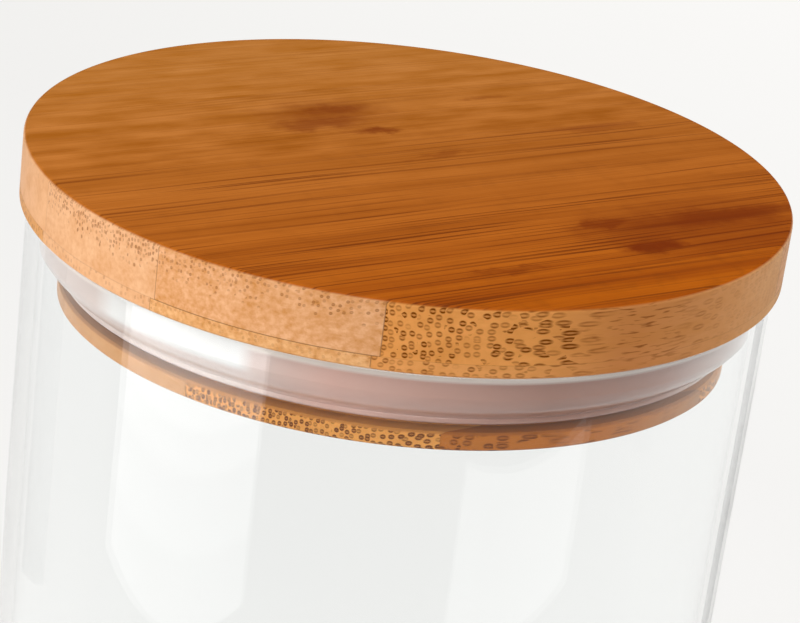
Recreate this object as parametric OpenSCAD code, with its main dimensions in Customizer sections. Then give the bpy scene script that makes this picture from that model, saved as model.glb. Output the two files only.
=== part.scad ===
// Lidded glass canister: a straight glass jar closed by a turned bamboo lid
// with a flared silicone seal. Millimetres, +Z up, origin at the centre of
// the surface that the jar stands on. +X runs along the grain of the bamboo.

/* [Glass jar] */
// Outer diameter of the glass
jar_d = 100; // [80:1:140]
// Height of the glass alone, from the table to the rim
jar_h = 150; // [90:1:240]
// Thickness of the side wall
wall_t = 2; // [1.6:0.1:4]
// Thickness of the base
base_t = 2.6; // [2:0.1:6]
// Outside radius where the wall turns into the base
heel_r = 6; // [4.5:0.5:12]
// How far the middle of the base is pushed up
push_up = 1.2; // [0.6:0.1:3]
// Width of the flat ring that the jar stands on
foot_w = 4; // [2:0.5:8]
// Radius of the fire-polished edges of the rim
rim_r = 0.7; // [0.3:0.1:0.75]

/* [Lid] */
// How far the lid stands out past the glass
overhang = 1; // [0.5:0.5:8]
// Thickness of the flange that lies on the rim
flange_t = 8.9; // [7.5:0.1:16]
// Depth of the plug under the flange
plug_t = 11.9; // [10.5:0.1:20]
// Gap all round between the foot of the plug and the glass
plug_gap = 2.8; // [1.5:0.1:5]
// Height of the lip that holds the seal on the plug
lip_t = 2.4; // [1.5:0.1:3]
// Depth of the seal groove behind that lip
groove_depth = 2.2; // [1.6:0.1:4]
// Radius of the sanded top edge
top_round = 0.6; // [0.3:0.1:2]
// Size of the chamfer on the lower edges
low_chamfer = 0.3; // [0.1:0.1:0.6]

/* [Bamboo board] */
// Width of one bamboo strip in the board
strip_w = 23; // [15:0.5:40]
// Thickness of the top ply
top_ply_t = 7.1; // [4:0.1:9]
// Thickness of the middle ply
middle_ply_t = 6.8; // [4:0.1:9]
// Distance from the lid's centre line to a glue joint of the top ply
top_joint_y = 5; // [0:0.1:14]
// The same distance in the middle ply
middle_joint_y = 5.6; // [0:0.1:14]
// The same distance in the bottom ply
bottom_joint_y = 5.4; // [0:0.1:14]
// Narrowest strip that is left at the edge of the lid
least_strip = 1.5; // [1:0.1:3]

/* [Silicone seal] */
// Thickness of the band that grips the groove
band_t = 1.5; // [1:0.1:1.6]
// Height over which the lip flares out to the glass
flare_h = 4.7; // [3:0.1:5.5]
// Thickness of the lip at its root
lip_root_t = 1.1; // [0.8:0.1:1.4]
// Thickness of the lip at its tip
lip_tip_t = 0.5; // [0.3:0.1:0.7]
// Space under the band, down to the plug's lip
seal_drop = 1; // [0.5:0.1:2]

/* [Clearances] */
// Between the band and the bottom of its groove, all round
band_clear = 0.05; // [0.02:0.01:0.1]
// Between the band and the underside of the flange
flange_clear = 0.1; // [0.05:0.05:0.3]
// Between the upright part of the lip and the glass, all round
glass_clear = 0.15; // [0.1:0.05:0.3]
// Between the tip of the lip and the underside of the flange
tip_clear = 0.5; // [0.2:0.1:1.5]

/* [Hidden] */
$fn = 180;
tiny = 0.01;
jar_r = jar_d / 2;
bore_r = jar_r - wall_t;
flange_r = jar_r + overhang;
lid_bottom_z = jar_h - plug_t;
lid_top_z = jar_h + flange_t;

plug_r = bore_r - plug_gap;
core_r = plug_r - groove_depth;
groove_low_z = lid_bottom_z + lip_t;

// The push-up is part of a ball that just meets the inner edge of the foot ring.
push_r = jar_r - heel_r - foot_w;
ball_r = (push_r * push_r + push_up * push_up) / (2 * push_up);

band_in_r = core_r + band_clear;
band_out_r = band_in_r + band_t;
band_low_z = groove_low_z + seal_drop;
band_high_z = jar_h - flange_clear;
lip_out_r = bore_r - glass_clear;
lip_steps = 10;
// Above the flare the glass bends the lip upright, and its tip is rounded.
upright_low_z = band_low_z + flare_h;
upright_high_z = jar_h - tip_clear - lip_tip_t / 2;

// Each ply: its name, its underside, its top, its largest radius, a glue joint.
PLIES = [
    ["top", lid_top_z - top_ply_t, lid_top_z, flange_r, top_joint_y],
    ["middle", lid_top_z - top_ply_t - middle_ply_t, lid_top_z - top_ply_t, flange_r, middle_joint_y],
    ["bottom", lid_bottom_z, lid_top_z - top_ply_t - middle_ply_t, plug_r, bottom_joint_y],
];
TONES = ["#C9894A", "#D39A5A", "#BE7B3C", "#D8A468", "#C58448"];

// The glue joints that cross a ply, from -Y to +Y.
function joints(ply) = [
    for (k = [-ceil(ply[3] / strip_w) - 1 : ceil(ply[3] / strip_w) + 1])
        let (y = ply[4] + k * strip_w)
        if (abs(y) < ply[3] - least_strip) y
];
// The edges of a ply's strips: the glue joints, and the outside at both ends.
function edges(ply) = concat([-ply[3] - tiny], joints(ply), [ply[3] + tiny]);
function strips(ply) = len(edges(ply)) - 1;
function strip_name(ply, i) = str(ply[0], "_ply_strip_", i);

// Half section of a round body that stands on z = low, with a rounded heel.
module heeled_outline(r, low, high, corner) {
    translate([0, low]) square([r - corner, high - low]);
    translate([0, low + corner]) square([r, high - low - corner]);
    translate([r - corner, low + corner]) circle(corner);
}

// Half section of the jar: heel, pushed-up base, straight wall and fire-polished rim.
module jar_outline() {
    difference() {
        heeled_outline(jar_r, 0, jar_h - rim_r, heel_r);
        translate([0, push_up - ball_r]) circle(ball_r, $fn = 720);
        difference() {
            heeled_outline(bore_r, base_t, jar_h, heel_r - wall_t);
            translate([0, push_up - ball_r]) circle(ball_r + base_t, $fn = 720);
        }
    }
    translate([bore_r + rim_r, jar_h - rim_r]) circle(rim_r);
    translate([jar_r - rim_r, jar_h - rim_r]) circle(rim_r);
    translate([bore_r + rim_r, jar_h - rim_r]) square([wall_t - 2 * rim_r, rim_r]);
}

module glass_jar() {
    color("#CFDAD8", 0.35) rotate_extrude() jar_outline();
}

// Half section of the whole lid as the lathe leaves it, before it is divided into strips.
module lid_outline() {
    // Flange with a sanded top edge and a chamfered lower edge
    translate([0, jar_h]) polygon([
        [0, 0],
        [flange_r - low_chamfer, 0],
        [flange_r, low_chamfer],
        [flange_r, flange_t - top_round],
        [flange_r - top_round, flange_t - top_round],
        [flange_r - top_round, flange_t],
        [0, flange_t],
    ]);
    translate([flange_r - top_round, lid_top_z - top_round]) circle(top_round);
    // Core of the plug, behind the seal
    translate([0, groove_low_z - tiny]) square([core_r, jar_h - groove_low_z + 2 * tiny]);
    // Lip of the plug, under the seal
    translate([0, lid_bottom_z]) polygon([
        [0, 0],
        [plug_r - low_chamfer, 0],
        [plug_r, low_chamfer],
        [plug_r, lip_t - low_chamfer],
        [plug_r - low_chamfer, lip_t],
        [0, lip_t],
    ]);
}

// One strip of one ply, cut out of the turned lid. The strips lie face to face.
module board_strip(ply, i) {
    y0 = edges(ply)[i - 1];
    y1 = edges(ply)[i];
    color(TONES[i % len(TONES)]) intersection() {
        rotate_extrude() lid_outline();
        translate([-flange_r - 1, y0, ply[1]]) cube([2 * flange_r + 2, y1 - y0, ply[2] - ply[1]]);
    }
}

// Middle of the flare at a share t of its height: it leaves the band and bends upright at the glass.
function flare_mid(t) = let (from_r = band_out_r - lip_root_t / 2, to_r = lip_out_r - lip_tip_t / 2) [
    from_r + (to_r - from_r) * (1.7 * t - 0.7 * t * t),
    band_low_z + lip_root_t / 2 + (flare_h - lip_root_t / 2) * t,
];
function flare_half(t) = (lip_root_t + (lip_tip_t - lip_root_t) * t) / 2;

// Half section of the seal: an upright band, and a lip that flares out and lies along the glass.
module seal_outline() {
    shares = [for (k = [0 : lip_steps]) k / lip_steps];
    translate([band_in_r, band_low_z]) square([band_t, band_high_z - band_low_z]);
    polygon(concat(
        [for (t = shares) flare_mid(t) + [flare_half(t), 0]],
        [for (t = shares) flare_mid(1 - t) - [flare_half(1 - t), 0]]
    ));
    translate([lip_out_r - lip_tip_t, upright_low_z]) square([lip_tip_t, upright_high_z - upright_low_z]);
    translate([lip_out_r - lip_tip_t / 2, upright_high_z]) circle(lip_tip_t / 2);
}

module seal_ring() {
    color("#E6DAD6") rotate_extrude() seal_outline();
}

glass_jar();
seal_ring();
for (ply = PLIES) for (i = [1 : strips(ply)])
    board_strip(ply, i);
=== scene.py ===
import math

import bmesh
import bpy
from mathutils import Matrix, Vector


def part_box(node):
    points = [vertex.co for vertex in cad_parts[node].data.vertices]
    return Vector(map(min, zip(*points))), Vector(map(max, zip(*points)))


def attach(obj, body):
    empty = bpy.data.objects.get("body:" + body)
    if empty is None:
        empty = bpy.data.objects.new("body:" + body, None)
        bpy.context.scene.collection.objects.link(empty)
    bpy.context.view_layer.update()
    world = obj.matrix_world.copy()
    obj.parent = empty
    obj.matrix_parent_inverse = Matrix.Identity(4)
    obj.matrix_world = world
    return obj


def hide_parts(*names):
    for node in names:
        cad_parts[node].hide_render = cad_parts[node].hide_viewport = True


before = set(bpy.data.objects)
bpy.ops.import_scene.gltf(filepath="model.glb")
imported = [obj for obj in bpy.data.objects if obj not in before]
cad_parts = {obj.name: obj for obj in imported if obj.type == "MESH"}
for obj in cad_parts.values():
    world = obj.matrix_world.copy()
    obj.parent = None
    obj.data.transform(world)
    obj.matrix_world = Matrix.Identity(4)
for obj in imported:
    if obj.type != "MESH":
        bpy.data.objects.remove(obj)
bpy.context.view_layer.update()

MM = 0.001

# ---------------------------------------------------------------- sizes, read from the frame
JAR_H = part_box("glass_jar")[1].z
SEAL_LOW, SEAL_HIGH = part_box("seal_ring")
LID_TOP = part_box("top_ply_strip_3")[1].z
LID_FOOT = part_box("bottom_ply_strip_3")[0].z

# Sizes inside the glass and the lid, which no box shows
JAR_R = 50 * MM
WALL_T = 2 * MM
BASE_T = 2.6 * MM
HEEL_R = 6 * MM
PUSH_UP = 1.2 * MM
FOOT_W = 4 * MM
RIM_R = 0.7 * MM
FLANGE_OVER = 1 * MM
PLUG_GAP = 2.8 * MM
GROOVE_DEPTH = 2.2 * MM
LID_R = JAR_R + FLANGE_OVER
PLUG_R = JAR_R - WALL_T - PLUG_GAP
CORE_R = PLUG_R - GROOVE_DEPTH
LIP_T = 2.4 * MM
TOP_ROUND = 0.6 * MM
LOW_CHAMFER = 0.3 * MM

# The silicone ring: its band, its flared lip, and the room it has
BAND_T = 1.5 * MM
BAND_ROUND = 0.3 * MM
BAND_CLEAR = 0.05 * MM
GLASS_CLEAR = 0.15 * MM
TIP_CLEAR = 0.5 * MM
FLARE_H = 4.7 * MM
LIP_ROOT_T = 1.1 * MM
LIP_TIP_T = 0.5 * MM
UPRIGHT_Z = 146.2 * MM    # from here up the silicone lip lies along the glass

# Level directions of the front view: to its right, and away from it
RIGHTWARD = (0.809, -0.588, 0)
AWAY = (0.588, 0.809, 0)


# ---------------------------------------------------------------- colours and shader nodes
def linear(hex_code, alpha=1.0):
    """An sRGB hex colour as the linear numbers that a shader socket takes."""
    parts = [int(hex_code[i:i + 2], 16) / 255 for i in (1, 3, 5)]
    return tuple(p / 12.92 if p <= 0.04045 else ((p + 0.055) / 1.055) ** 2.4 for p in parts) + (alpha,)


def add(tree, kind, links=None, out=0, **settings):
    """Adds a shader node with its settings, fills its inputs, and gives one of its outputs."""
    node = tree.nodes.new(kind)
    for key, value in settings.items():
        setattr(node, key, value)
    for key, value in (links or {}).items():
        if isinstance(value, bpy.types.NodeSocket):
            tree.links.new(value, node.inputs[key])
        else:
            node.inputs[key].default_value = value
    return node.outputs[out] if node.outputs else node


def new_material(name):
    """A material with an empty node tree."""
    material = bpy.data.materials.new(name)
    material.use_nodes = True
    material.node_tree.nodes.clear()
    return material, material.node_tree


# ---------------------------------------------------------------- glass and silicone
def borosilicate_glass():
    """Blown borosilicate, fire polished: clear and colourless, so only its edges and reflections show."""
    material, tree = new_material("borosilicate_fire_polished")
    place = add(tree, "ShaderNodeTexCoord", out="Object")
    # Blown glass is never quite even: long soft waves, 25 mm apart, bend the reflections a little
    waves = add(tree, "ShaderNodeTexNoise", {"Vector": place, "Scale": 1 / (25 * MM), "Detail": 1.0})
    bump = add(tree, "ShaderNodeBump", {"Height": waves, "Strength": 0.2, "Distance": 0.2 * MM})
    glass = add(tree, "ShaderNodeBsdfPrincipled", {
        "Base Color": linear("#FDFEFE"), "Roughness": 0.0, "IOR": 1.47, "Transmission Weight": 1.0,
        "Normal": bump})
    # Light passes straight through on its way to a shadow, so the glass throws only a faint one
    clear = add(tree, "ShaderNodeBsdfTransparent", {"Color": linear("#F4F6F5")})
    shadow = add(tree, "ShaderNodeLightPath", out="Is Shadow Ray")
    both = add(tree, "ShaderNodeMixShader", {0: shadow, 1: glass, 2: clear})
    add(tree, "ShaderNodeOutputMaterial", {"Surface": both})
    return material


def silicone():
    """Moulded silicone, uncoloured and milky, warmed by the bamboo behind it; painted light and shade make
    it paler at the left and at the right end and deeper round to the right, and a painted highlight whitens
    one stretch.
    """
    material, tree = new_material("silicone_moulded_milky")
    place = add(tree, "ShaderNodeTexCoord", out="Object")
    cloud = add(tree, "ShaderNodeTexNoise", {"Vector": place, "Scale": 1 / (5 * MM), "Detail": 2.0})
    height = add(tree, "ShaderNodeSeparateXYZ", {0: place}, out="Z")
    along = add(tree, "ShaderNodeVectorMath", {0: place, 1: RIGHTWARD}, out="Value",
                operation="DOT_PRODUCT")
    ahead = add(tree, "ShaderNodeVectorMath", {0: place, 1: AWAY}, out="Value",
                operation="DOT_PRODUCT")

    # Each change of the lip: what it goes by, where it starts and where it is complete, millimetres
    upright = UPRIGHT_Z / MM
    shaded_right, lit_left, lit_right, tip = [
        add(tree, "ShaderNodeMapRange", {"Value": value, "From Min": start * MM, "From Max": full * MM})
        for value, start, full in ((along, -6, 20), (along, -6, -18), (along, 34, 44),
                                   (height, upright + 1.9, upright + 2.3))]
    # Painted light and shade: the lip is paler at the left, deeper from the middle round to the right, and
    # paler again at the right end
    warm = add(tree, "ShaderNodeMix", {0: cloud, 6: linear("#DEB0A2"), 7: linear("#E8BEB1")},
               out=2, data_type="RGBA")
    warm = add(tree, "ShaderNodeMix", {0: shaded_right, 6: warm, 7: linear("#B28474")}, out=2, data_type="RGBA")
    lit_ends = add(tree, "ShaderNodeMath", {0: lit_left, 1: lit_right}, operation="MAXIMUM")
    warm = add(tree, "ShaderNodeMix", {0: lit_ends, 6: warm, 7: linear("#E2CEC6")}, out=2, data_type="RGBA")
    # The top of the upright lip is nearly white all round
    colour = add(tree, "ShaderNodeMix", {0: tip, 6: warm, 7: linear("#FFF0E6")}, out=2, data_type="RGBA")
    # Painted highlight: one stretch of the upright lip, at the left front, is painted white where the
    # softbox's glare lies
    painted_glare = 1.0
    for value, start, full in ((along, -35.5, -33), (along, -15, -17), (ahead, 0, -8),
                               (height, upright - 1.2, upright - 0.4)):
        inside = add(tree, "ShaderNodeMapRange", {"Value": value, "From Min": start * MM,
                                                  "From Max": full * MM})
        painted_glare = add(tree, "ShaderNodeMath", {0: painted_glare, 1: inside}, operation="MULTIPLY")
    colour = add(tree, "ShaderNodeMix", {0: painted_glare, 6: colour, 7: linear("#FAF8F6")},
                 out=2, data_type="RGBA")
    surface = add(tree, "ShaderNodeBsdfPrincipled", {
        "Base Color": colour, "Roughness": 0.2, "IOR": 1.41, "Specular IOR Level": 1.0,
        "Transmission Weight": 0.2})
    add(tree, "ShaderNodeOutputMaterial", {"Surface": surface})
    return material


# ---------------------------------------------------------------- bamboo
FACE_PALE = ("#C47F3C", "#BE6208")    # pale tone of the lacquered face, at the back and at the front
FACE_DEEP = ("#AD6618", "#8C3A00")    # its deep tone
PORE = "#6C2C02"
SCAR = "#7A2E00"
SHEATH = "#713704"
MOTTLE = "#B9762F"
GROOVE_SHADE = "#7A4418"
GLUE = "#4A2A10"


class Strip:
    """How one bamboo strip was cut out of the culm and how it took the lacquer."""

    def __init__(self, shift, edge, pitch=0.7, tall=1.4, ring=0.24, hollow=0.7, mark=0.7,
                 crowd=1.0, fade=0.0, lines=0.4, blotch=0.3, mottle=0.3, glue=0.15, along=None, scars=()):
        self.shift = shift      # where in the culm it was cut, millimetres
        self.edge = edge        # colour of the turned edge
        self.along = along or (edge, edge)    # its colour halfway along, and at the far end, +X: painted light and shade
        self.pitch = pitch      # spacing of the fibre bundles, millimetres
        self.tall = tall        # how much longer a bundle is upright than across
        self.ring = ring        # size of a bundle, in pitches
        self.hollow = hollow    # how pale a bundle is in the middle
        self.mark = mark        # how dark the bundles show
        self.crowd = crowd      # how soon they get rare below the top of the strip
        self.fade = fade        # how much fainter they are towards the far end, +X
        self.lines = lines      # how strong the pore lines are on the face
        self.blotch = blotch    # how strong the soft clouds are
        self.mottle = mottle    # how mottled the turned edge is
        self.glue = glue        # how dark its glue joints show on the edge
        self.scars = scars      # dark patches of a culm node: x, y, half length, half width, depth


def drawn_out(tree, point, spacing, detail=1.0, roughness=0.5, out=0):
    """Noise with a spacing of its own along X, Y and Z, in millimetres; the grain runs along X."""
    scaled = add(tree, "ShaderNodeVectorMath", {0: point, 1: tuple(1 / gap for gap in spacing)},
                 operation="MULTIPLY")
    return add(tree, "ShaderNodeTexNoise", {"Vector": scaled, "Scale": 1.0, "Detail": detail,
                                            "Roughness": roughness}, out=out)


class Culm:
    """Where a point of the strip lies in the lid and in the culm it came from, in millimetres."""

    def __init__(self, tree, strip):
        place = add(tree, "ShaderNodeTexCoord", out="Object")
        self.real = add(tree, "ShaderNodeVectorMath", {0: place, 1: (1 / MM,) * 3}, operation="MULTIPLY")
        self.x, self.y, self.z = [add(tree, "ShaderNodeSeparateXYZ", {0: self.real}, out=axis)
                                  for axis in "XYZ"]
        self.point = add(tree, "ShaderNodeVectorMath", {0: self.real, 1: strip.shift})
        # The fibres wander a little on their way along X
        slow = drawn_out(tree, self.point, (60, 14, 14), out="Color")
        self.wander = add(tree, "ShaderNodeVectorMath", {0: slow, 1: (0, 2.0, 0.8), 2: self.point},
                          operation="MULTIPLY_ADD")


def bundle_rings(tree, strip, culm, low, high):
    """Ringed dots, where the saw and the lathe cut the fibre bundles across."""
    # Long cells, taller than wide across the grain
    x, y, z = [add(tree, "ShaderNodeSeparateXYZ", {0: culm.wander}, out=axis) for axis in "XYZ"]
    cell_x = add(tree, "ShaderNodeMath", {0: x, 1: 35.0}, operation="DIVIDE")
    cell_y = add(tree, "ShaderNodeMath", {0: y, 1: strip.pitch}, operation="DIVIDE")
    cell_z = add(tree, "ShaderNodeMath", {0: z, 1: strip.tall * strip.pitch}, operation="DIVIDE")
    cell = add(tree, "ShaderNodeCombineXYZ", {0: cell_x, 1: cell_y, 2: cell_z})
    links = {"Vector": cell, "Scale": 1.0, "Randomness": 0.7}
    middle = add(tree, "ShaderNodeTexVoronoi", links, out="Position")
    lot_colour = add(tree, "ShaderNodeTexVoronoi", links, out="Color")
    away = add(tree, "ShaderNodeVectorMath", {0: cell, 1: middle}, operation="SUBTRACT")
    away_yz = add(tree, "ShaderNodeVectorMath", {0: away, 1: (0, 1, 1)}, operation="MULTIPLY")
    radius = add(tree, "ShaderNodeVectorMath", {0: away_yz}, out="Value", operation="LENGTH")
    ring = add(tree, "ShaderNodeValToRGB", {0: radius})
    stops = ((0.0, 1 - strip.hollow), (0.35 * strip.ring, 1 - 0.9 * strip.hollow),
             (0.75 * strip.ring, 1.0), (strip.ring, 1.0), (1.45 * strip.ring, 0.0))
    elements = ring.node.color_ramp.elements
    while len(elements) < len(stops):
        elements.new(0.5)
    for element, (at, value) in zip(elements, stops):
        element.position = at
        element.color = (value, value, value, 1)
    # The sheaths above and below the vessels are the dark part of a ring
    rise = add(tree, "ShaderNodeSeparateXYZ", {0: away}, out="Z")
    rise = add(tree, "ShaderNodeMath", {0: rise}, operation="ABSOLUTE")
    caps = add(tree, "ShaderNodeMath", {0: rise, 1: radius}, operation="DIVIDE")
    caps = add(tree, "ShaderNodeMath", {0: caps, 1: 0.95 * strip.hollow, 2: 1 - 0.9 * strip.hollow},
               operation="MULTIPLY_ADD", use_clamp=True)
    ring = add(tree, "ShaderNodeMath", {0: ring, 1: caps}, operation="MULTIPLY")

    # Bundles get rare below the top of the strip: each one shows only above its own lot
    lot = add(tree, "ShaderNodeSeparateXYZ", {0: lot_colour}, out="X")
    depth = add(tree, "ShaderNodeMapRange", {"Value": culm.z, "From Min": low.z / MM,
                                             "From Max": high.z / MM, "To Min": strip.crowd, "To Max": 0.0})
    shown = add(tree, "ShaderNodeMath", {0: lot, 1: depth}, operation="SUBTRACT")
    shown = add(tree, "ShaderNodeMapRange", {"Value": shown, "From Min": 0.0, "From Max": 0.08})
    # No two bundles are equally dark, and all fade towards the far end
    uneven = add(tree, "ShaderNodeVectorMath", {0: lot_colour, 1: (0, 0.7, 0)}, out="Value",
                 operation="DOT_PRODUCT")
    uneven = add(tree, "ShaderNodeMath", {0: 1.1, 1: uneven}, operation="SUBTRACT")
    fading = add(tree, "ShaderNodeMapRange", {"Value": culm.x, "From Min": -10.0, "From Max": 16.0,
                                              "To Min": strip.mark,
                                              "To Max": strip.mark * (1 - strip.fade)})
    for share in (shown, uneven, fading):
        ring = add(tree, "ShaderNodeMath", {0: ring, 1: share}, operation="MULTIPLY")
    return ring


def lengthwise_dashes(tree, strip, culm, ring):
    """Where the edge runs along the grain the bundles are cut lengthwise, into short narrow dashes."""
    turned = add(tree, "ShaderNodeTexCoord", out="Normal")
    turned = add(tree, "ShaderNodeSeparateXYZ", {0: turned}, out="X")
    turned = add(tree, "ShaderNodeMath", {0: turned}, operation="ABSOLUTE")
    lengthwise = add(tree, "ShaderNodeMapRange", {"Value": turned, "From Min": 0.2, "From Max": 0.05},
                     interpolation_type="SMOOTHSTEP")
    dash = drawn_out(tree, culm.point, (2.6, 4, 0.32))
    dash = add(tree, "ShaderNodeMapRange", {"Value": dash, "From Min": 0.56, "From Max": 0.68,
                                            "To Max": 0.6 * strip.mark})
    return add(tree, "ShaderNodeMix", {0: lengthwise, 2: ring, 3: dash}, out=0, data_type="FLOAT")


def pore_lines(tree, strip, culm):
    """Fine dark lines, about 1 mm apart, that come and go along the face."""
    pore = drawn_out(tree, culm.wander, (50, 0.45, 1.5), 2.0, 0.4)
    pore = add(tree, "ShaderNodeMapRange", {"Value": pore, "From Min": 0.54, "From Max": 0.64,
                                            "To Max": strip.lines})
    patch = drawn_out(tree, culm.point, (45, 6, 6))
    patch = add(tree, "ShaderNodeMapRange", {"Value": patch, "From Min": 0.35, "From Max": 0.6,
                                             "To Min": 0.35})
    return add(tree, "ShaderNodeMath", {0: pore, 1: patch}, operation="MULTIPLY")


def lacquered_face(tree, strip, culm, fibre, band, pore):
    """The face's colour: from its pale tone to its deep one by fibres, bands and clouds, with scars."""
    cloud = drawn_out(tree, culm.point, (9, 2.8, 2.8), 4.0)
    tone = add(tree, "ShaderNodeMath", {0: fibre, 1: 0.6, 2: -0.3}, operation="MULTIPLY_ADD")
    tone = add(tree, "ShaderNodeMath", {0: band, 1: 1.3, 2: tone}, operation="MULTIPLY_ADD")
    tone = add(tree, "ShaderNodeMath", {0: cloud, 1: 2.4 * strip.blotch, 2: tone}, operation="MULTIPLY_ADD")
    tone = add(tree, "ShaderNodeMath", {0: tone, 1: 0.15 + 1.2 * strip.blotch}, operation="SUBTRACT",
               use_clamp=True)
    to_front = add(tree, "ShaderNodeMapRange", {"Value": culm.y, "From Min": 40.0, "From Max": -45.0})
    pale, deep = [add(tree, "ShaderNodeMix", {0: to_front, 6: linear(back), 7: linear(front)},
                      out=2, data_type="RGBA") for back, front in (FACE_PALE, FACE_DEEP)]
    face = add(tree, "ShaderNodeMix", {0: tone, 6: pale, 7: deep}, out=2, data_type="RGBA")
    face = add(tree, "ShaderNodeMix", {0: pore, 6: face, 7: linear(PORE)}, out=2, data_type="RGBA")
    # Scars have ragged borders: they are ovals on a warped map of the face, which is shifted by
    # half of the warp's reach on average
    reach = Vector((11, 6, 0))
    warped = add(tree, "ShaderNodeTexNoise", {"Vector": culm.point, "Scale": 0.22, "Detail": 5.0,
                                              "Roughness": 0.6}, out="Color")
    warped = add(tree, "ShaderNodeVectorMath", {0: warped, 1: reach, 2: culm.real},
                 operation="MULTIPLY_ADD")
    for x, y, half_x, half_y, depth in strip.scars:
        middle = Vector((x, y, 0)) + reach / 2
        spot = add(tree, "ShaderNodeVectorMath", {0: warped, 1: middle}, operation="SUBTRACT")
        spot = add(tree, "ShaderNodeVectorMath", {0: spot, 1: (1 / half_x, 1 / half_y, 0)},
                   operation="MULTIPLY")
        spot = add(tree, "ShaderNodeVectorMath", {0: spot}, out="Value", operation="LENGTH")
        spot = add(tree, "ShaderNodeMapRange", {"Value": spot, "From Min": 0.3, "From Max": 1.2,
                                                "To Min": depth, "To Max": 0.0},
                   interpolation_type="SMOOTHSTEP")
        face = add(tree, "ShaderNodeMix", {0: spot, 6: face, 7: linear(SCAR)}, out=2, data_type="RGBA")
    return face


def turned_edge(tree, strip, culm, band, groove):
    """The edge's colour: paler than the face, partly by painted light, nearly even but for painted light
    and shade along X, with a faint mottle of cut fibres.
    """
    edge = linear(strip.edge)
    # Painted light and shade: along X the edge turns to the strip's colour halfway along, then to its
    # colour at the far end
    for tone, start, stop in ((strip.along[0], -14.0, -3.0), (strip.along[1], 0.0, 30.0)):
        reached = add(tree, "ShaderNodeMapRange", {"Value": culm.x, "From Min": start, "From Max": stop})
        edge = add(tree, "ShaderNodeMix", {0: reached, 6: edge, 7: linear(tone)}, out=2, data_type="RGBA")
    crumb = drawn_out(tree, culm.point, (30, 0.7, 0.7), 3.0, 0.6)
    mottle = add(tree, "ShaderNodeMapRange", {"Value": crumb, "From Min": 0.35, "From Max": 0.7,
                                              "To Max": strip.mottle})
    cloudy = add(tree, "ShaderNodeMapRange", {"Value": band, "From Min": 0.35, "From Max": 0.7,
                                              "To Max": 0.25})
    mottle = add(tree, "ShaderNodeMath", {0: mottle, 1: cloudy})
    edge = add(tree, "ShaderNodeMix", {0: mottle, 6: edge, 7: linear(MOTTLE)}, out=2, data_type="RGBA")
    # Painted shade in the seal groove
    darker = add(tree, "ShaderNodeMath", {0: groove, 1: 0.45}, operation="MULTIPLY")
    return add(tree, "ShaderNodeMix", {0: darker, 6: edge, 7: linear(GROOVE_SHADE)}, out=2,
               data_type="RGBA")


def in_seal_groove(tree, culm):
    """1 between the plug's lip and the flange, where the groove is rough and gets no light: the mask of its
    painted shade.
    """
    lip_top = (LID_FOOT + LIP_T) / MM
    flange_low = JAR_H / MM
    above_lip, below_flange = [
        add(tree, "ShaderNodeMapRange", {"Value": culm.z, "From Min": start, "From Max": stop})
        for start, stop in ((lip_top - 0.35, lip_top - 0.15), (flange_low + 0.05, flange_low - 0.05))]
    return add(tree, "ShaderNodeMath", {0: above_lip, 1: below_flange}, operation="MULTIPLY")


def glue_joints(tree, strip, culm, colour, on_edge, low, high):
    """A dark hairline, 0.1 to 0.2 mm, where this strip meets the next one or the next ply."""
    # Borders beyond this one are the lid's own outline, which has no joint
    outermost = 44 * MM
    joints = [(culm.y, y) for y in (low.y, high.y) if abs(y) < outermost]
    joints += [(culm.z, z) for z in (low.z, high.z) if LID_FOOT + 1 * MM < z < LID_TOP - 1 * MM]
    for value, border in joints:
        gap = add(tree, "ShaderNodeMath", {0: value, 1: border / MM}, operation="SUBTRACT")
        gap = add(tree, "ShaderNodeMath", {0: gap}, operation="ABSOLUTE")
        gap = add(tree, "ShaderNodeMapRange", {"Value": gap, "From Min": 0.03, "From Max": 0.09,
                                               "To Min": strip.glue, "To Max": 0.0})
        gap = add(tree, "ShaderNodeMath", {0: gap, 1: on_edge}, operation="MULTIPLY")
        colour = add(tree, "ShaderNodeMix", {0: gap, 6: colour, 7: linear(GLUE)}, out=2, data_type="RGBA")
    return colour


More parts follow.
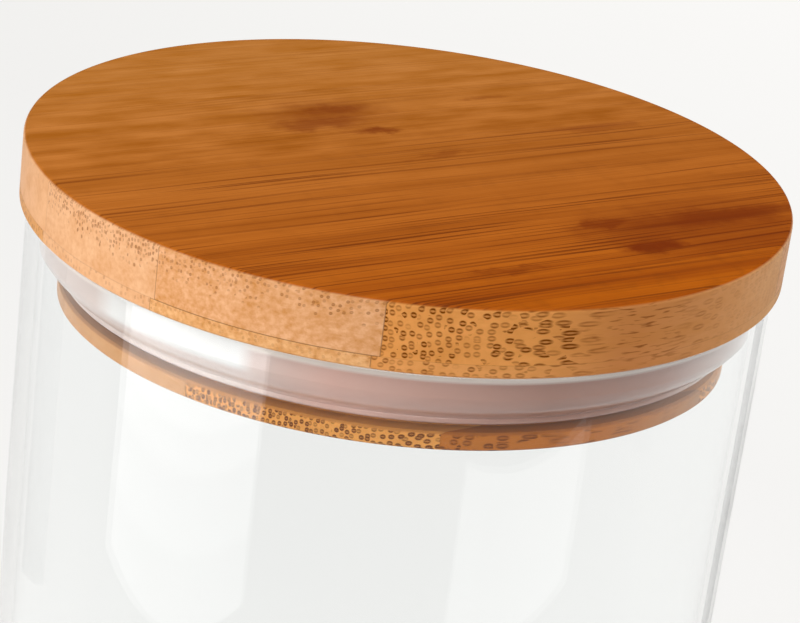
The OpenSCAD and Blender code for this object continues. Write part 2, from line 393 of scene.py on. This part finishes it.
def bamboo(name, strip, low, high):
    """Strip bamboo, pressed flat, turned and lacquered: long fibres on the face, rings at the cut ends."""
    material, tree = new_material(f"bamboo_{name}_turned_lacquered")
    culm = Culm(tree, strip)
    ring = bundle_rings(tree, strip, culm, low, high)
    ring = lengthwise_dashes(tree, strip, culm, ring)
    # Fine fibres 0.3 mm apart and soft bands 3 mm apart, all along the grain
    fibre = drawn_out(tree, culm.wander, (60, 0.28, 0.28), 2.0)
    band = drawn_out(tree, culm.wander, (110, 3.2, 3.2), 2.0)
    pore = pore_lines(tree, strip, culm)
    groove = in_seal_groove(tree, culm)
    face = lacquered_face(tree, strip, culm, fibre, band, pore)
    edge = turned_edge(tree, strip, culm, band, groove)

    # The edge is paler than the face partly by its own tone and partly by painted light on the sides
    is_face = add(tree, "ShaderNodeMapRange", {"Value": culm.z, "From Min": LID_TOP / MM - 0.3,
                                               "From Max": LID_TOP / MM - 0.1})
    ground = add(tree, "ShaderNodeMix", {0: is_face, 6: edge, 7: face}, out=2, data_type="RGBA")
    # Rings are faint under the lacquer of the face and can't be seen in the painted shade of the groove
    plain = add(tree, "ShaderNodeMath", {0: 1.0, 1: groove}, operation="SUBTRACT")
    ring = add(tree, "ShaderNodeMath", {0: ring, 1: plain}, operation="MULTIPLY")
    softer = add(tree, "ShaderNodeMapRange", {"Value": is_face, "To Min": 1.0, "To Max": 0.2})
    ring = add(tree, "ShaderNodeMath", {0: ring, 1: softer}, operation="MULTIPLY")
    colour = add(tree, "ShaderNodeMix", {0: ring, 6: ground, 7: linear(SHEATH)}, out=2, data_type="RGBA")
    on_edge = add(tree, "ShaderNodeMath", {0: 1.0, 1: is_face}, operation="SUBTRACT")
    colour = glue_joints(tree, strip, culm, colour, on_edge, low, high)

    # The lacquer sinks into rings, pores and fibres, so it shines softly and unevenly
    rough = add(tree, "ShaderNodeMapRange", {"Value": fibre, "To Min": 0.36, "To Max": 0.5})
    relief = add(tree, "ShaderNodeMath", {0: ring, 1: pore})
    relief = add(tree, "ShaderNodeMath", {0: fibre, 1: 0.4, 2: relief}, operation="MULTIPLY_ADD")
    bump = add(tree, "ShaderNodeBump", {"Height": relief, "Strength": 0.3, "Distance": 0.04 * MM},
               invert=True)
    surface = add(tree, "ShaderNodeBsdfPrincipled", {
        "Base Color": colour, "Roughness": rough, "IOR": 1.42, "Specular IOR Level": 0.05,
        "Normal": bump})
    add(tree, "ShaderNodeOutputMaterial", {"Surface": surface})
    return material


# ---------------------------------------------------------------- turned shapes
ON_AXIS = 1e-7              # a radius below this is on the axis
HELD_FROM = 0.8 * MM        # sides longer than this are held straight
HELD_AT = 0.06 * MM         # by a point this close to both ends


def arc(centre, radius, start, end, steps):
    """Points of an arc in the (r, z) plane, angles in degrees."""
    angles = [math.radians(start + (end - start) * i / steps) for i in range(steps + 1)]
    return [(centre[0] + radius * math.cos(a), centre[1] + radius * math.sin(a)) for a in angles]


def held(outline, closed):
    """Adds a point close to both ends of every long side, so that smooth shading stays flat there."""
    made = []
    for i, (r, z) in enumerate(outline):
        made.append((r, z))
        if i == len(outline) - 1 and not closed:
            break
        r2, z2 = outline[(i + 1) % len(outline)]
        long = math.hypot(r2 - r, z2 - z)
        if long > HELD_FROM:
            near = HELD_AT / long
            made.append((r + (r2 - r) * near, z + (z2 - z) * near))
            made.append((r2 - (r2 - r) * near, z2 - (z2 - z) * near))
    return made


def turned_mesh(name, outline, segments):
    """A closed (r, z) outline swept round Z. Points on the axis become one vertex."""
    closed = outline[0][0] > ON_AXIS
    outline = held(outline, closed)
    bm = bmesh.new()
    rings = []
    turn = [2 * math.pi * k / segments for k in range(segments)]
    for r, z in outline:
        if r < ON_AXIS:
            rings.append([bm.verts.new((0, 0, z))] * segments)
        else:
            rings.append([bm.verts.new((r * math.cos(t), r * math.sin(t), z)) for t in turn])
    for i in range(len(rings) - (0 if closed else 1)):
        a, b = rings[i], rings[(i + 1) % len(rings)]
        for k in range(segments):
            n = (k + 1) % segments
            corners = [a[k], a[n], b[n], b[k]]
            unique = [v for j, v in enumerate(corners) if v not in corners[:j]]
            if len(unique) > 2:
                bm.faces.new(unique)
    bmesh.ops.recalc_face_normals(bm, faces=bm.faces)
    mesh = bpy.data.meshes.new(name)
    bm.to_mesh(mesh)
    bm.free()
    return mesh


def piece(name, mesh, material, sharp_degrees):
    """A new smooth-shaded object with one material; edges sharper than the angle stay sharp."""
    mesh.shade_smooth()
    mesh.set_sharp_from_angle(angle=math.radians(sharp_degrees))
    mesh.materials.clear()
    mesh.materials.append(material)
    obj = bpy.data.objects.new(name, mesh)
    bpy.context.scene.collection.objects.link(obj)
    return obj


def jar_outline():
    """The blown jar: pushed-up base, round heel, straight wall, fire-polished rim."""
    push_r = JAR_R - HEEL_R - FOOT_W
    ball_r = (push_r ** 2 + PUSH_UP ** 2) / (2 * PUSH_UP)
    centre = PUSH_UP - ball_r
    bore_r = JAR_R - WALL_T
    inner_heel = HEEL_R - WALL_T
    floor_r = math.sqrt((ball_r + BASE_T) ** 2 - (BASE_T - centre) ** 2)
    steps = 12
    dish = [(push_r * i / steps, centre + math.sqrt(ball_r ** 2 - (push_r * i / steps) ** 2))
            for i in range(steps + 1)]
    outer = dish + arc((JAR_R - HEEL_R, HEEL_R), HEEL_R, -90, 0, 16)
    rim = arc((JAR_R - RIM_R, JAR_H - RIM_R), RIM_R, 0, 90, 8)
    rim += arc((bore_r + RIM_R, JAR_H - RIM_R), RIM_R, 90, 180, 8)
    inner = arc((bore_r - inner_heel, BASE_T + inner_heel), inner_heel, 0, -90, 12)
    floor = [(floor_r * i / steps, centre + math.sqrt((ball_r + BASE_T) ** 2 - (floor_r * i / steps) ** 2))
             for i in range(steps, -1, -1)]
    return outer + rim + inner + floor


def seal_outline():
    """The moulded ring: a band in the groove and a lip that flares out and lies along the glass."""
    band_in = CORE_R + BAND_CLEAR
    band_out = band_in + BAND_T
    out_r = JAR_R - WALL_T - GLASS_CLEAR
    low, high = SEAL_LOW.z, SEAL_HIGH.z
    tip_z = JAR_H - TIP_CLEAR - LIP_TIP_T / 2
    start_r, end_r = band_out - LIP_ROOT_T / 2, out_r - LIP_TIP_T / 2

    def middle(t):
        """Middle of the flare: it leaves the band at a slant and bends upright at the glass."""
        return (start_r + (end_r - start_r) * (1.7 * t - 0.7 * t * t),
                low + LIP_ROOT_T / 2 + (FLARE_H - LIP_ROOT_T / 2) * t)

    def half(t):
        """Half of the lip's thickness there."""
        return (LIP_ROOT_T + (LIP_TIP_T - LIP_ROOT_T) * t) / 2

    steps = 16
    shares = [i / steps for i in range(steps + 1)]
    root = arc((band_out, low + LIP_ROOT_T / 2), LIP_ROOT_T / 2, -90, 0, 6)
    lip_out = [(middle(t)[0] + half(t), middle(t)[1]) for t in shares if middle(t)[1] > root[-1][1]]
    tip = arc((end_r, tip_z), LIP_TIP_T / 2, 0, 180, 10)
    lip_in = [(middle(t)[0] - half(t), middle(t)[1]) for t in reversed(shares)]
    lip_in = [p for p in lip_in if p[0] > band_out + 0.02 * MM]
    crook = [(band_out, lip_in[-1][1] - 0.1 * MM)]
    band = [(band_out, high - BAND_ROUND), (band_out - BAND_ROUND, high), (band_in + BAND_ROUND, high)]
    band += [(band_in, high - BAND_ROUND), (band_in, low + BAND_ROUND), (band_in + BAND_ROUND, low)]
    return root[:-1] + lip_out + tip + lip_in + crook + band


def lid_outline():
    """The whole lid as the lathe leaves it: plug lip, seal groove, flange with a sanded top edge."""
    groove_low = LID_FOOT + LIP_T
    foot = [(0, LID_FOOT), (PLUG_R - LOW_CHAMFER, LID_FOOT), (PLUG_R, LID_FOOT + LOW_CHAMFER)]
    foot += [(PLUG_R, groove_low - LOW_CHAMFER), (PLUG_R - LOW_CHAMFER, groove_low), (CORE_R, groove_low)]
    flange = [(CORE_R, JAR_H), (LID_R - LOW_CHAMFER, JAR_H), (LID_R, JAR_H + LOW_CHAMFER)]
    top = arc((LID_R - TOP_ROUND, LID_TOP - TOP_ROUND), TOP_ROUND, 0, 90, 8)
    return foot + flange + top + [(0, LID_TOP)]


def cut_strip(mesh, low, high):
    """Keeps the part of the turned lid between two corners, with its saw cuts closed."""
    bm = bmesh.new()
    bm.from_mesh(mesh)
    planes = [((0, low.y, 0), (0, -1, 0)), ((0, high.y, 0), (0, 1, 0)),
              ((0, 0, low.z), (0, 0, -1)), ((0, 0, high.z), (0, 0, 1))]
    for at, outward in planes:
        cut = bmesh.ops.bisect_plane(bm, geom=bm.verts[:] + bm.edges[:] + bm.faces[:], dist=1e-8,
                                     plane_co=at, plane_no=outward, clear_outer=True)
        edges = [e for e in cut["geom_cut"] if isinstance(e, bmesh.types.BMEdge) and e.is_boundary]
        if edges:
            bmesh.ops.holes_fill(bm, edges=edges, sides=0)
    bmesh.ops.recalc_face_normals(bm, faces=bm.faces)
    made = bpy.data.meshes.new("strip")
    bm.to_mesh(made)
    bm.free()
    return made


# ---------------------------------------------------------------- the canister
# Painted light and shade on the front strips' edge: deeper halfway along, paler at the far end
FRONT_EDGE_PAINTED_LIGHT = ("#C37F49", "#D8A26D")

STRIPS = {
    # The front strip was cut near the skin of the culm: big ringed bundles, faint at the far end
    "top_ply_strip_1": Strip((11, 3, 5), "#DE9752", pitch=0.6, tall=1.7, ring=0.285, hollow=0.75,
                             mark=1.15, fade=0.85, crowd=0.1, lines=0.8, blotch=0.15, mottle=0.2,
                             along=FRONT_EDGE_PAINTED_LIGHT,
                             scars=((13.5, -39.8, 5, 1.5, 0.5), (5, -39.3, 5, 1.0, 0.4))),
    "top_ply_strip_2": Strip((47, 21, 9), "#DCA67A", pitch=0.55, tall=1.3, ring=0.22, hollow=0.3, mark=0.6,
                             crowd=1.6, lines=0.85, blotch=0.15, mottle=0.6, glue=0.6,
                             scars=((12.5, -36, 5.5, 2.4, 1.0), (11.4, -27.8, 5, 1.5, 0.7),
                                    (30, -30, 14, 3.2, 0.8), (26, -33, 20, 12, 0.5),
                                    (13, -30, 9, 7, 0.35), (-10, -37.6, 6, 1.2, 0.5))),
    "top_ply_strip_3": Strip((83, 37, 2), "#DEAC82", pitch=0.52, tall=1.4, ring=0.26, hollow=0.1, mark=0.6,
                             crowd=1.5, lines=0.65, blotch=0.2, mottle=0.3,
                             scars=((4.5, -0.2, 6, 1.0, 0.35), (34, 4, 9, 2, 0.35))),
    "top_ply_strip_4": Strip((29, 55, 7), "#DEAA7E", pitch=1.2, ring=0.15, hollow=0.1, mark=0.1, crowd=2.5,
                             lines=0.2, blotch=0.8, mottle=0.2,
                             scars=((-2, 18, 11, 6.5, 0.4), (-5, 14.7, 7, 2.6, 0.5), (0, 19.3, 6, 2.2, 0.5),
                                    (1.8, 10.5, 5, 1.5, 0.75), (25, 19, 4, 1.0, 0.3))),
    "top_ply_strip_5": Strip((65, 71, 4), "#DEAA7E", pitch=1.2, ring=0.15, hollow=0.1, mark=0.1, crowd=2.5,
                             lines=0.15, blotch=0.7, mottle=0.2),
    "middle_ply_strip_1": Strip((7, 81, 5), "#DE9A5A", pitch=0.6, tall=1.6, ring=0.27, hollow=0.7, mark=0.8,
                                fade=0.85, crowd=0.2, mottle=0.2, along=FRONT_EDGE_PAINTED_LIGHT),
    "middle_ply_strip_2": Strip((57, 9, 3), "#E0AC78", pitch=0.6, ring=0.2, hollow=0.2, mark=0.25,
                                crowd=1.9, mottle=0.6, glue=0.6),
    "middle_ply_strip_3": Strip((23, 49, 6), "#DEAC82", pitch=0.7, ring=0.2, hollow=0.2, mark=0.3,
                                crowd=1.8, mottle=0.2),
    "bottom_ply_strip_2": Strip((5, 61, 12), "#E8A050", pitch=0.52, tall=1.55, ring=0.31, hollow=0.5,
                                mark=1.5, crowd=0.0, mottle=0.2),
    "bottom_ply_strip_1": Strip((5, 31, 12), "#BA6A22", pitch=0.7, tall=1.6, ring=0.28, hollow=0.6,
                                mark=1.2, fade=0.85, crowd=0.1, mottle=0.1, along=("#BA6A22", "#A88058")),
}


def strip_cut(name, index):
    """The strip's own look, or an ordinary one for strips with nothing special."""
    ordinary = Strip((17 * index, 23 * index, 5 * index), "#D39A62", pitch=0.7 + 0.05 * (index % 4),
                     ring=0.22, hollow=0.3, mark=0.6, crowd=1.4)
    return STRIPS.get(name) or ordinary


def build_lid():
    """Fifteen strips in three plies, each cut from the turned lid along its glue joints."""
    turned = turned_mesh("turned_lid", lid_outline(), 256)
    # The outermost strips reach past the CAD box by a hair, so that nothing of the lathe is left out
    beyond = Vector((0, 0.2 * MM, 0))
    names = sorted(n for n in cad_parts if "_ply_strip_" in n)
    for index, name in enumerate(names):
        low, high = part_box(name)
        material = bamboo(name, strip_cut(name, index), low, high)
        cut_low = low - beyond if name.endswith("_1") else low
        cut_high = high + beyond if name.endswith("_5") else high
        obj = piece("bamboo_" + name, cut_strip(turned, cut_low, cut_high), material, 30)
        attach(obj, "lid")
        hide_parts(name)


def build_jar():
    """The glass jar."""
    obj = piece("blown_glass_jar", turned_mesh("blown_jar", jar_outline(), 288), borosilicate_glass(), 60)
    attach(obj, "jar")
    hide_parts("glass_jar")


def build_seal():
    """The silicone sealing ring."""
    obj = piece("silicone_seal_ring", turned_mesh("moulded_seal", seal_outline(), 288), silicone(), 60)
    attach(obj, "seal")
    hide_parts("seal_ring")


# ---------------------------------------------------------------- camera
GRAIN_TURN = math.radians(36)    # the grain lies turned by this from the camera's left-right line
PITCH = math.radians(22.365)
ROLL = math.radians(7.361)
CAMERA_AT = Vector((-196.96 * MM, -273.08 * MM, LID_TOP + 116.4 * MM))
LENS = 120.65
SENSOR = 36


def build_camera():
    """A long lens, a little above the lid, tilted by hand."""
    right = Vector((1, 0, 0))
    forward = Vector((0, math.cos(PITCH), -math.sin(PITCH)))
    up = Vector((0, math.sin(PITCH), math.cos(PITCH)))
    across = math.cos(ROLL) * right + math.sin(ROLL) * up
    upward = math.cos(ROLL) * up - math.sin(ROLL) * right
    turn = Matrix.Rotation(-GRAIN_TURN, 3, "Z")
    axes = [turn @ across, turn @ upward, turn @ -forward]
    matrix = Matrix([[a[row] for a in axes] + [CAMERA_AT[row]] for row in range(3)] + [[0, 0, 0, 1]])
    data = bpy.data.cameras.new("camera")
    data.lens = LENS
    data.sensor_width = SENSOR
    data.clip_start, data.clip_end = 0.01, 20
    camera = bpy.data.objects.new("camera", data)
    camera.matrix_world = matrix
    bpy.context.scene.collection.objects.link(camera)
    bpy.context.scene.camera = camera


# ---------------------------------------------------------------- floor and cards
FLOOR_REACH = 3.0
CARD_H = 0.1
# The near and the far foot of each card
CARDS = (("grey_card_right", (0.184, 0.012), (0.172, 0.041)),
         ("grey_card_left", (-0.140, 0.166), (-0.087, 0.192)))


def background_paper():
    """White background paper, matt: it catches the shadow and shows nearly white, with a painted glow
    brightest far right.
    """
    material, tree = new_material("background_paper_matt")
    place = add(tree, "ShaderNodeTexCoord", out="Object")
    # Painted light: the paper's glow grows brighter towards the far right
    rightward = add(tree, "ShaderNodeVectorMath", {0: place, 1: (0.99, 0.16, 0)}, out="Value",
                    operation="DOT_PRODUCT")
    bright = add(tree, "ShaderNodeMapRange", {"Value": rightward, "From Min": 0.25, "From Max": 0.7,
                                              "To Min": 0.99, "To Max": 1.12})
    paper = add(tree, "ShaderNodeBsdfDiffuse", {"Color": linear("#F2F1EF")})
    camera_ray = add(tree, "ShaderNodeLightPath", out="Is Camera Ray")
    mirror_ray = add(tree, "ShaderNodeLightPath", out="Is Glossy Ray")
    glass_ray = add(tree, "ShaderNodeLightPath", out="Is Transmission Ray")
    # Painted shade in mirror images: in front of the jar the paper glows dimmer, as a dim room would, which
    # only mirror images in the glass show
    ahead = add(tree, "ShaderNodeVectorMath", {0: place, 1: AWAY}, out="Value", operation="DOT_PRODUCT")
    dim = add(tree, "ShaderNodeMapRange", {"Value": ahead, "From Min": 0.0, "From Max": -0.25,
                                           "To Max": 0.6})
    dim = add(tree, "ShaderNodeMath", {0: dim, 1: mirror_ray}, operation="MULTIPLY")
    dim = add(tree, "ShaderNodeMath", {0: 1.0, 1: dim}, operation="SUBTRACT")
    bright = add(tree, "ShaderNodeMath", {0: bright, 1: dim}, operation="MULTIPLY")
    # Most of what the eye gets is an even glow; the rest is paper, which shows the shadow
    glow = add(tree, "ShaderNodeEmission", {"Color": linear("#FBFAF8"), "Strength": bright})
    seen = add(tree, "ShaderNodeMath", {0: camera_ray, 1: mirror_ray}, operation="MAXIMUM")
    seen = add(tree, "ShaderNodeMath", {0: seen, 1: glass_ray}, operation="MAXIMUM")
    share = add(tree, "ShaderNodeMath", {0: seen, 1: 0.85}, operation="MULTIPLY")
    both = add(tree, "ShaderNodeMixShader", {0: share, 1: paper, 2: glow})
    add(tree, "ShaderNodeOutputMaterial", {"Surface": both})
    return material


def grey_card():
    """Grey card, matt: it shows as one even grey."""
    material, tree = new_material("grey_card_matt")
    grey = add(tree, "ShaderNodeBsdfDiffuse", {"Color": linear("#D2D2D2")})
    add(tree, "ShaderNodeOutputMaterial", {"Surface": grey})
    return material


def flat_sheet(name, corners, material):
    """One flat face that belongs to the studio."""
    mesh = bpy.data.meshes.new(name)
    mesh.from_pydata(corners, [], [tuple(range(len(corners)))])
    obj = piece(name, mesh, material, 40)
    return obj


def build_floor():
    """A flat sheet of paper under the jar."""
    corners = [(x * FLOOR_REACH, y * FLOOR_REACH, 0) for x, y in ((-1, -1), (1, -1), (1, 1), (-1, 1))]
    flat_sheet("paper_floor", corners, background_paper())


def build_cards():
    """Cards left and right that only mirror images show: they draw the grey lines in the glass edges."""
    material = grey_card()
    for name, near, far in CARDS:
        card = flat_sheet(name, [(*near, 0), (*far, 0), (*far, CARD_H), (*near, CARD_H)], material)
        card.visible_camera = False
        card.visible_transmission = False


# ---------------------------------------------------------------- light
MID_JAR = (0, 0, 0.15)
SOFTBOX_X = -0.235
SOFTBOX_W = 0.2
# The softbox fades towards the table, so its mirror image in the glass is weaker lower down:
# the low and the high end of each part, and its watts per square metre
SOFTBOX_PARTS = ((0.055, 0.325, 6.9), (0.045, 0.055, 5.5), (0.035, 0.045, 4.3), (0.017, 0.035, 3.3),
                 (0.0, 0.017, 2.6))
ROOM_LIGHT = 0.12


def area_light(name, at, aim, size, power):
    """A soft panel of light at a place, turned to a point, hidden from the camera."""
    data = bpy.data.lights.new(name, "AREA")
    data.shape = "RECTANGLE"
    data.size, data.size_y = size
    data.energy = power
    light = bpy.data.objects.new(name, data)
    light.location = at
    light.rotation_euler = (Vector(aim) - Vector(at)).to_track_quat("-Z", "Y").to_euler()
    light.visible_camera = False
    bpy.context.scene.collection.objects.link(light)
    return light


def build_light():
    """A tall softbox at the left, a panel overhead, broad weak ones in front and right, and a dim room."""
    for low, high, glow in SOFTBOX_PARTS:
        middle, tall = (low + high) / 2, high - low
        area_light("left_softbox", (SOFTBOX_X, 0, middle), (0, 0, middle), (SOFTBOX_W, tall),
                   glow * SOFTBOX_W * tall)
    left_fill = area_light("left_fill", (-0.5, -0.1, 0.3), MID_JAR, (0.3, 0.3), 0.3)
    left_fill.visible_glossy = False
    area_light("overhead_panel", (0.12, 0.05, 0.85), MID_JAR, (0.5, 0.5), 3.2)
    area_light("front_panel", (-0.4, -0.75, 0.6), MID_JAR, (0.6, 0.5), 3.3)
    area_light("right_panel", (0.8, -0.25, 0.5), MID_JAR, (0.5, 0.4), 2.5)
    # A small low one, whose mirror image is a faint bright band low in the front of the glass
    area_light("low_card", (0.035, -0.25, 0.02), (0.035, 0, 0.02), (0.16, 0.04), 0.014)
    world = bpy.data.worlds.new("room")
    world.use_nodes = True
    background = world.node_tree.nodes["Background"]
    background.inputs["Color"].default_value = linear("#FFFFFF")
    background.inputs["Strength"].default_value = ROOM_LIGHT
    bpy.context.scene.world = world


build_camera()
build_floor()
build_cards()
build_light()
build_jar()
build_seal()
build_lid()

bpy.context.scene.view_settings.view_transform = "Standard"
